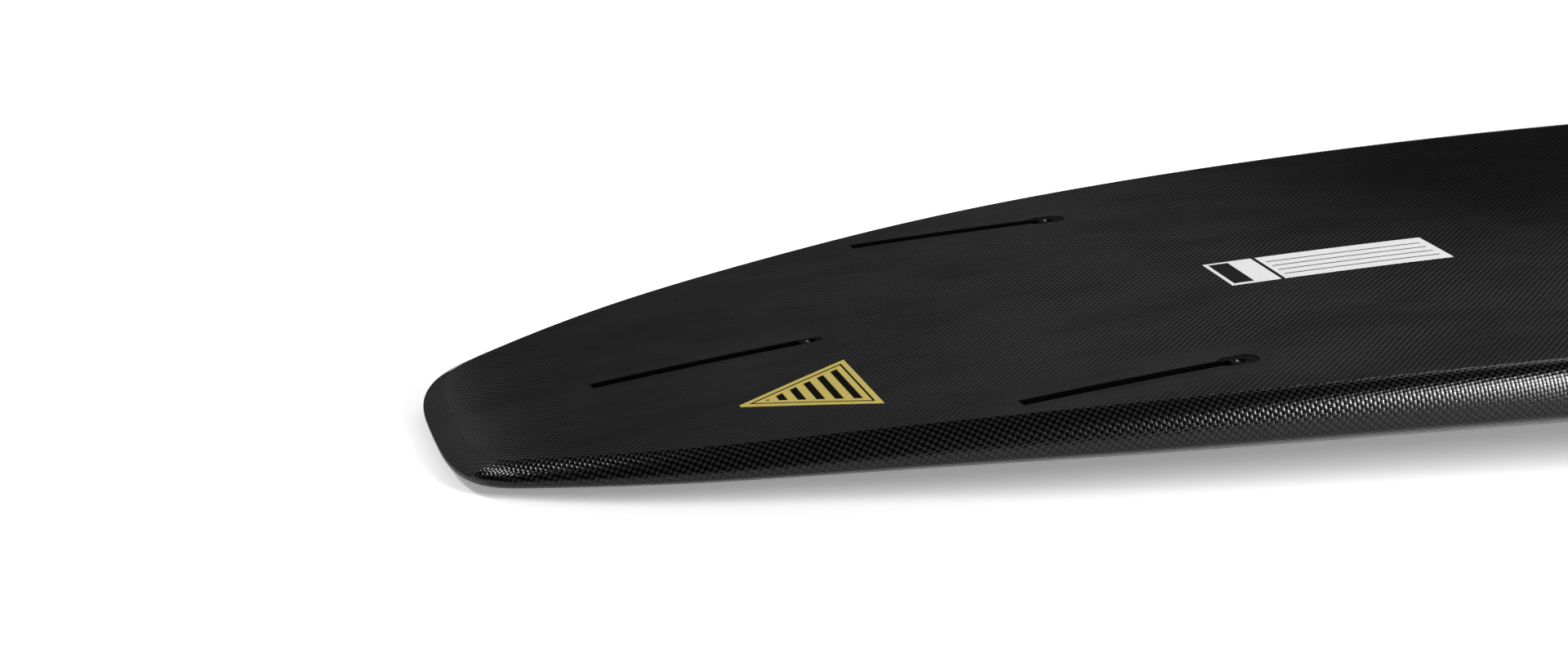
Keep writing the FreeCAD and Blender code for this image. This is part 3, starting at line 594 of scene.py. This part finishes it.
class Maths:
    """Shorthand for the nodes of one tree."""

    def __init__(self, tree):
        self.tree = tree

    def put(self, socket, value):
        if isinstance(value, bpy.types.NodeSocket):
            self.tree.links.new(value, socket)
        else:
            socket.default_value = value

    def __call__(self, operation, *values, clamp=False):
        node = self.tree.nodes.new("ShaderNodeMath")
        node.operation = operation
        node.use_clamp = clamp
        for socket, value in zip(node.inputs, values):
            self.put(socket, value)
        return node.outputs[0]

    def mix(self, share, a, b):
        node = self.tree.nodes.new("ShaderNodeMix")
        node.data_type = "FLOAT"
        self.put(node.inputs[0], share)
        self.put(node.inputs[2], a)
        self.put(node.inputs[3], b)
        return node.outputs[0]

    def colour(self, share, a, b):
        node = self.tree.nodes.new("ShaderNodeMix")
        node.data_type = "RGBA"
        self.put(node.inputs[0], share)
        self.put(node.inputs[6], a)
        self.put(node.inputs[7], b)
        return node.outputs[2]

    def ramp(self, value, low, high, to_low=0.0, to_high=1.0):
        node = self.tree.nodes.new("ShaderNodeMapRange")
        node.interpolation_type = "SMOOTHSTEP"
        for socket, item in zip(node.inputs, (value, low, high, to_low, to_high)):
            self.put(socket, item)
        return node.outputs[0]

    def noise(self, vector, scale, detail=2.0, roughness=0.5):
        node = self.tree.nodes.new("ShaderNodeTexNoise")
        self.put(node.inputs["Vector"], vector)
        node.inputs["Scale"].default_value = scale
        node.inputs["Detail"].default_value = detail
        node.inputs["Roughness"].default_value = roughness
        return node.outputs[0]

    def place(self):
        """A piece's own coordinates, which are the frame's at rest, in metres."""
        return self.tree.nodes.new("ShaderNodeTexCoord").outputs["Object"]

    def split(self, vector):
        node = self.tree.nodes.new("ShaderNodeSeparateXYZ")
        self.put(node.inputs[0], vector)
        return node.outputs

    def join(self, x, y, z):
        node = self.tree.nodes.new("ShaderNodeCombineXYZ")
        for socket, item in zip(node.inputs, (x, y, z)):
            self.put(socket, item)
        return node.outputs[0]


def make_material(name):
    """A new material, the maths of its tree, and its shader."""
    material = bpy.data.materials.new(name)
    material.use_nodes = True
    return material, Maths(material.node_tree), material.node_tree.nodes["Principled BSDF"]


def grey(value):
    return value, value, value, 1


# width of one tow of the cloth, in metres
TOW = 0.00203


def weave(m, across, along):
    """Plain weave from the cloth map: normal, warp or weft, nearness to a tow's edge, and the map."""
    uv = m.tree.nodes.new("ShaderNodeUVMap")
    uv.uv_map = "cloth"
    wobble = m.noise(uv.outputs[0], 14.0, 1.0)
    u, v, _ = m.split(uv.outputs[0])
    u = m("ADD", m("DIVIDE", u, TOW), m("MULTIPLY", wobble, 1.5))
    v = m("ADD", m("DIVIDE", v, TOW), m("MULTIPLY", wobble, -1.2))
    fu = m("SUBTRACT", m("FRACT", u), 0.5)
    fv = m("SUBTRACT", m("FRACT", v), 0.5)
    weft = m("MODULO", m("ABSOLUTE", m("ADD", m("FLOOR", u), m("FLOOR", v))), 2.0)
    weft = m("GREATER_THAN", weft, 0.5)
    slope_u = m("MULTIPLY", fu, m.mix(weft, along, across))
    slope_v = m("MULTIPLY", fv, m.mix(weft, across, along))
    # 0.5 + slope * 0.5 holds the normal's two tilts
    packed = m.join(m("MULTIPLY_ADD", slope_u, 1.0, 0.5), m("MULTIPLY_ADD", slope_v, 1.0, 0.5), 1.0)
    normal = m.tree.nodes.new("ShaderNodeNormalMap")
    normal.space = "TANGENT"
    normal.uv_map = "cloth"
    m.put(normal.inputs["Color"], packed)
    edge = m("MAXIMUM", m("ABSOLUTE", fu), m("ABSOLUTE", fv))
    return normal.outputs[0], weft, edge, uv.outputs[0]


def carbon_matte():
    """Woven cloth under a dull coat that fills it most round the slots and at the tail."""
    material, m, shader = make_material("carbon_matte_weave")
    normal, weft, _, uv = weave(m, 0.22, 0.08)
    cloud = m.noise(uv, 9.0, 4.0, 0.6)
    fine = m.noise(uv, 900.0, 2.0, 0.6)
    cloth = m.colour(weft, (0.0042, 0.0040, 0.0040, 1), (0.0400, 0.0385, 0.0385, 1))
    smooth = (0.0222, 0.0222, 0.0225, 1)
    # the cloth shows less round the slots
    u, v, _ = m.split(uv)
    coat = 0.0
    for (x0, y0, toe), _, _ in FIN_SLOTS:
        c, s = math.cos(toe), math.sin(toe)
        du = m("SUBTRACT", u, x0 / 1000)
        dv = m("SUBTRACT", v, y0 / 1000)
        a = m("ADD", m("MULTIPLY", du, c), m("MULTIPLY", dv, s))
        b = m("SUBTRACT", m("MULTIPLY", dv, c), m("MULTIPLY", du, s))
        a = m("DIVIDE", m("MAXIMUM", m("SUBTRACT", m("ABSOLUTE", a), 0.060), 0.0), 0.030)
        b = m("DIVIDE", m("ABSOLUTE", b), 0.030)
        d = m("SQRT", m("ADD", m("MULTIPLY", a, a), m("MULTIPLY", b, b)))
        here = m.ramp(m("ADD", d, m("MULTIPLY", cloud, 0.5)), 0.75, 1.35, 1.0, 0.0)
        coat = m("MAXIMUM", coat, here)
    filled = m.ramp(m("ADD", u, m("MULTIPLY", cloud, 0.12)), 0.16, 0.52, 0.30, 0.85)
    filled = m("MAXIMUM", filled, m.ramp(m("ADD", u, m("MULTIPLY", cloud, 0.06)), 0.03, 0.17, 1.0, 0.0))
    show = m.mix(coat, filled, 0.18)
    base = m.colour(show, smooth, cloth)
    base = m.colour(m.ramp(cloud, 0.38, 0.72, 0.0, 0.45), base, (0.0250, 0.0250, 0.0253, 1))
    streak = m.noise(m.join(m("MULTIPLY", u, 9.0), m("MULTIPLY", v, 24.0), 0.0), 1.0, 4.0, 0.65)
    base = m.colour(m.ramp(streak, 0.30, 0.62, 0.40, 0.0), base, (0.0085, 0.0085, 0.0086, 1))
    # painted shade: the cloth is darkened toward the tail and, beyond the label, toward the far rail, where
    # less light falls
    painted_shade = m("MULTIPLY", m.ramp(u, 0.40, 0.66, 0.0, 0.75), m.ramp(u, 0.75, 1.70, 1.0, 0.0))
    painted_shade = m("MULTIPLY", painted_shade, m.ramp(v, -0.10, 0.10, 0.15, 1.0))
    # the painted shade toward the tail
    tail = m("MULTIPLY", m.ramp(u, 0.08, 0.34, 0.30, 0.0), m.ramp(u, 0.02, 0.06))
    painted_shade = m("MAXIMUM", painted_shade, tail)
    base = m.colour(painted_shade, base, (0.0030, 0.0027, 0.0026, 1))
    # and painted light: paler round the tail's end, which is turned away from the lamps
    base = m.colour(m.ramp(u, 0.004, 0.034, 0.42, 0.0), base, (0.0500, 0.0490, 0.0490, 1))
    m.put(shader.inputs["Base Color"], base)
    rough = m("ADD", m.ramp(cloud, 0.3, 0.7, 0.50, 0.58), m("MULTIPLY", fine, 0.05))
    m.put(shader.inputs["Roughness"], rough)
    shader.inputs["Specular IOR Level"].default_value = 0.0
    shader.inputs["IOR"].default_value = 1.45
    m.put(shader.inputs["Normal"], normal)
    return material


def carbon_gloss():
    """Woven cloth under a glossy coat, with dark gaps between the tows."""
    material, m, shader = make_material("carbon_gloss_weave")
    normal, weft, edge, _ = weave(m, 0.20, 0.07)
    gap = m.ramp(edge, 0.40, 0.5, 0.0, 1.0)
    # painted glint: the weft tows' paler base colour stands in for the glint of the tows
    base = m.colour(weft, grey(0.0008), (0.0105, 0.0105, 0.0107, 1))
    base = m.colour(gap, base, grey(0.0006))
    m.put(shader.inputs["Base Color"], base)
    m.put(shader.inputs["Roughness"], m.mix(weft, 0.16, 0.22))
    m.put(shader.inputs["Normal"], normal)
    shader.inputs["Specular IOR Level"].default_value = 0.22
    shader.inputs["IOR"].default_value = 1.5
    return material


def plain_material(name, colour, roughness, metallic=0.0, grain=400.0, relief=0.00002, specular=0.5):
    """One colour with a fine grain in its tone, roughness and relief."""
    material, m, shader = make_material(name)
    noise = m.noise(m.place(), grain, 3.0, 0.6)
    light = tuple(min(1.0, c * 1.18) for c in colour) + (1,)
    dark = tuple(c * 0.85 for c in colour) + (1,)
    m.put(shader.inputs["Base Color"], m.colour(noise, dark, light))
    m.put(shader.inputs["Roughness"], m.ramp(noise, 0.2, 0.8, roughness * 0.85, min(1.0, roughness * 1.15)))
    shader.inputs["Metallic"].default_value = metallic
    shader.inputs["Specular IOR Level"].default_value = specular
    bump = m.tree.nodes.new("ShaderNodeBump")
    bump.inputs["Distance"].default_value = relief
    bump.inputs["Strength"].default_value = 0.6
    m.put(bump.inputs["Height"], noise)
    m.put(shader.inputs["Normal"], bump.outputs[0])
    return material


def box_material():
    """Black plastic with painted light and shade: greyer on the flange that faces out of the bottom, near
    black on the walls turned away from it.
    """
    material, m, shader = make_material("box_plastic")
    fine = m.noise(m.place(), 600.0, 3.0, 0.6)
    up = m.split(m.tree.nodes.new("ShaderNodeNewGeometry").outputs["Normal"])[2]
    # painted shade: faces that don't look out of the bottom, such as the slot's walls, stay near black
    flange = m("MULTIPLY", m.ramp(up, 0.5, 0.9), m.ramp(fine, 0.2, 0.8, 0.75, 1.0))
    m.put(shader.inputs["Base Color"], m.colour(flange, grey(0.0012), (0.0095, 0.0095, 0.0097, 1)))
    m.put(shader.inputs["Roughness"], m.ramp(fine, 0.2, 0.8, 0.52, 0.64))
    shader.inputs["Specular IOR Level"].default_value = 0.0
    return material


def board_coordinates(m):
    """Distance from the tail and across the board, in metres, on a piece of the board."""
    x, y, z = m.split(m.place())
    angle = -2 * math.asin(REST_TURN.y)
    c, s = math.cos(angle), math.sin(angle)
    dx = m("SUBTRACT", x, REST_PLACE.x / 1000)
    dz = m("SUBTRACT", z, REST_PLACE.z / 1000)
    return m("ADD", m("MULTIPLY", dx, c), m("MULTIPLY", dz, s)), y


def inside_band(m, value, low, high, soft):
    """1 where the value lies between low and high, else 0, with soft sides."""
    above = m.ramp(value, low - soft, low + soft)
    below = m.ramp(value, high - soft, high + soft, 1.0, 0.0)
    return m("MULTIPLY", above, below)


def label_material():
    """White film with a dark block, a divider and four ruled lines, and no text."""
    material, m, shader = make_material("label_film")
    x, y = board_coordinates(m)
    u = m("SUBTRACT", x, LABEL_START / 1000)
    v = m("SUBTRACT", y, LABEL_EDGE / 1000)
    divider = inside_band(m, u, 0.0288, 0.0312, 0.0002)
    block_u = inside_band(m, u, 0.0022, 0.0140, 0.0002)
    block_v = inside_band(m, v, 0.0022, 0.0378, 0.0002)
    ink = m("MAXIMUM", divider, m("MULTIPLY", block_u, block_v))
    rule_u = inside_band(m, u, 0.034, 0.128, 0.0003)
    for i in range(4):
        low = 0.0065 + 0.0078 * i
        rule_v = inside_band(m, v, low, low + 0.0012, 0.00015)
        ink = m("MAXIMUM", ink, m("MULTIPLY", rule_v, rule_u))
    fine = m.noise(m.place(), 500.0, 3.0)
    white = m.colour(fine, grey(0.62), (0.68, 0.68, 0.675, 1))
    m.put(shader.inputs["Base Color"], m.colour(ink, white, (0.015, 0.015, 0.016, 1)))
    m.put(shader.inputs["Roughness"], m.ramp(fine, 0.2, 0.8, 0.42, 0.55))
    shader.inputs["Specular IOR Level"].default_value = 0.0
    return material


def decal_material():
    """Gold film with a dark line inside its edge and dark bars across it."""
    material, m, shader = make_material("gold_film")
    x, y = board_coordinates(m)
    u = m("SUBTRACT", x, DECAL_START / 1000)
    v = m("ABSOLUTE", m("SUBTRACT", y, DECAL_MIDDLE / 1000))
    # how far inside the two slanted sides, and then inside the nearest side
    slant = m("SUBTRACT", m("ADD", 0.0010, m("MULTIPLY", u, 0.5308)), v)
    side = m("MULTIPLY", slant, 0.883)
    inner = m("MINIMUM", side, m("MINIMUM", u, m("SUBTRACT", DECAL_LONG / 1000, u)))
    border = inside_band(m, inner, 0.0030, 0.0042, 0.0002)
    bars = m("FRACT", m("DIVIDE", u, 0.0085))
    bars = m("MULTIPLY", inside_band(m, bars, 0.30, 0.78, 0.03), m.ramp(inner, 0.0068, 0.0072))
    ink = m("MAXIMUM", border, bars)
    fine = m.noise(m.place(), 350.0, 3.0)
    gold = m.colour(fine, (0.40, 0.320, 0.085, 1), (0.48, 0.390, 0.115, 1))
    m.put(shader.inputs["Base Color"], m.colour(ink, gold, (0.006, 0.006, 0.005, 1)))
    m.put(shader.inputs["Roughness"], m.ramp(fine, 0.2, 0.8, 0.30, 0.42))
    shader.inputs["Specular IOR Level"].default_value = 0.0
    return material


def dress(piece, material):
    for slot in piece.material_slots:
        slot.material = material


cut_edge = plain_material("cut_laminate_edge", (0.002, 0.002, 0.002), 0.7, specular=0.0)
matte = carbon_matte()
# in the order of OWN_LOOK, EDGE_LOOK and DULL_LOOK
for piece, material in ((bottom_piece, matte), (deck_piece, carbon_gloss())):
    for look in (material, cut_edge, matte):
        piece.data.materials.append(look)
box_plastic = box_material()
steel = plain_material("stainless_steel", (0.15, 0.152, 0.157), 0.45, 1.0, 900.0, 0.000005)
dense = plain_material("dense_foam_beads", (0.72, 0.76, 0.80), 0.85, 0.0, 500.0, 0.0001)
foam = plain_material("core_foam_beads", (0.86, 0.85, 0.82), 0.9, 0.0, 320.0, 0.0002)
plug_plastic = plain_material("plug_plastic", (0.015, 0.015, 0.016), 0.32)
film = plain_material("vent_film", (0.8, 0.8, 0.8), 0.6)
CAD_LOOKS = {
    "foam_core": foam,
    "leash_block": dense,
    "leash_cup": plug_plastic,
    "leash_bar": steel,
    "vent_body": plug_plastic,
    "vent_cap": plug_plastic,
    "vent_membrane": film,
    "size_label": label_material(),
    "gold_decal": decal_material(),
}
for side in ("centre", "left", "right"):
    CAD_LOOKS[side + "_fin_box"] = box_plastic
    CAD_LOOKS[side + "_fin_screw"] = steel
    CAD_LOOKS[side + "_box_block"] = dense
for name, look in CAD_LOOKS.items():
    dress(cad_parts[name], look)

# ------------------------------------------------------------------ floor, lights, world and camera


def seen_rays(m):
    """Camera rays, and all the rays that show the background: camera, glossy and transmission."""
    paths = m.tree.nodes.new("ShaderNodeLightPath").outputs
    seen = m("MAXIMUM", paths["Is Glossy Ray"], paths["Is Transmission Ray"])
    return paths["Is Camera Ray"], m("MAXIMUM", paths["Is Camera Ray"], seen)


def make_floor():
    """A pale floor that looks white to the camera and in gloss, and keeps the board's shadow."""
    mesh = bpy.data.meshes.new("floor")
    r = 30.0
    mesh.from_pydata([(-r, -r, 0), (r, -r, 0), (r, r, 0), (-r, r, 0)], [], [(0, 1, 2, 3)])
    floor = bpy.data.objects.new("floor", mesh)
    bpy.context.scene.collection.objects.link(floor)
    material, m, shader = make_material("pale_floor")
    plain = m.colour(m.noise(m.place(), 3.0), grey(0.80), grey(0.82))
    camera_ray, seen = seen_rays(m)
    m.put(shader.inputs["Base Color"], m.colour(seen, plain, grey(1.0)))
    shader.inputs["Emission Color"].default_value = grey(1.0)
    m.put(shader.inputs["Emission Strength"], m.mix(camera_ray, 0.0, 0.3))
    shader.inputs["Roughness"].default_value = 0.9
    shader.inputs["Specular IOR Level"].default_value = 0.1
    mesh.materials.append(material)


def soft_box(name, place, aim, size, power):
    """An area lamp that faces a point."""
    data = bpy.data.lights.new(name, "AREA")
    data.shape = "RECTANGLE"
    data.size, data.size_y = size
    data.energy = power
    lamp = bpy.data.objects.new(name, data)
    lamp.location = place
    lamp.rotation_euler = (Vector(aim) - Vector(place)).to_track_quat("-Z", "Y").to_euler()
    bpy.context.scene.collection.objects.link(lamp)
    return lamp


make_floor()
soft_box("soft_box_above", (0.6, 2.2, 2.4), (-0.2, 0.1, 0.0), (2.4, 1.4), 18.0)
soft_box("soft_box_right", (0.95, -2.35, 1.35), (-0.25, -0.1, 0.05), (0.95, 0.7), 135.0)
soft_box("soft_box_left", (-2.28, 0.88, 1.95), (-0.88, -0.09, 0.02), (0.34, 0.28), 26.0)
# a tall pale panel that only the gloss shows
panel = soft_box("pale_panel", (1.07, -2.60, 1.38), (-0.25, -0.23, 0.30), (1.15, 2.5), 270.0)
panel.visible_diffuse = False


def make_world():
    """An even light of 0.30, and a white backdrop behind the board in a room that is otherwise dark."""
    world = bpy.data.worlds.new("studio")
    world.use_nodes = True
    bpy.context.scene.world = world
    w = Maths(world.node_tree)
    _, seen = seen_rays(w)
    direction = world.node_tree.nodes.new("ShaderNodeTexCoord").outputs["Generated"]
    aside, back, height = w.split(direction)
    # the backdrop is turned 15.5 degrees from the board's square
    turned = math.radians(15.5)
    away = w("ADD", w("MULTIPLY", back, math.cos(turned)), w("MULTIPLY", aside, math.sin(turned)))
    wall = w.ramp(height, 0.30, 0.75, 1.0, 0.10)
    wall = w("MULTIPLY", wall, w.ramp(away, 0.60, 0.88, 0.02, 1.0))
    shade = w.mix(seen, 0.30, wall)
    background = world.node_tree.nodes["Background"]
    w.put(background.inputs["Color"], w.join(shade, shade, shade))
    background.inputs["Strength"].default_value = 1.0


make_world()


def make_camera():
    """The camera that was fitted to the photograph, given in the board's frame and laid with it."""
    spot = Vector((-186.9, -1356.4, 424.5))
    yaw, pitch, roll = math.radians(15.50), math.radians(17.63), math.radians(0.15)
    forward = Vector((math.sin(yaw) * math.cos(pitch), math.cos(yaw) * math.cos(pitch), -math.sin(pitch)))
    right = Vector((math.cos(yaw), -math.sin(yaw), 0.0))
    up = right.cross(forward)
    right, up = (
        right * math.cos(roll) + up * math.sin(roll),
        up * math.cos(roll) - right * math.sin(roll),
    )
    turn = Matrix((right, up, -forward)).transposed()
    data = bpy.data.cameras.new("camera")
    data.sensor_width = 36.0
    data.lens = 63.739
    data.clip_start = 0.01
    data.clip_end = 100.0
    camera = bpy.data.objects.new("camera", data)
    camera.matrix_world = Matrix.Translation((REST @ spot) / 1000.0) @ (
        (REST_TURN.to_matrix() @ turn).to_4x4()
    )
    bpy.context.scene.collection.objects.link(camera)
    bpy.context.scene.camera = camera


make_camera()
bpy.context.scene.view_settings.view_transform = "Standard"
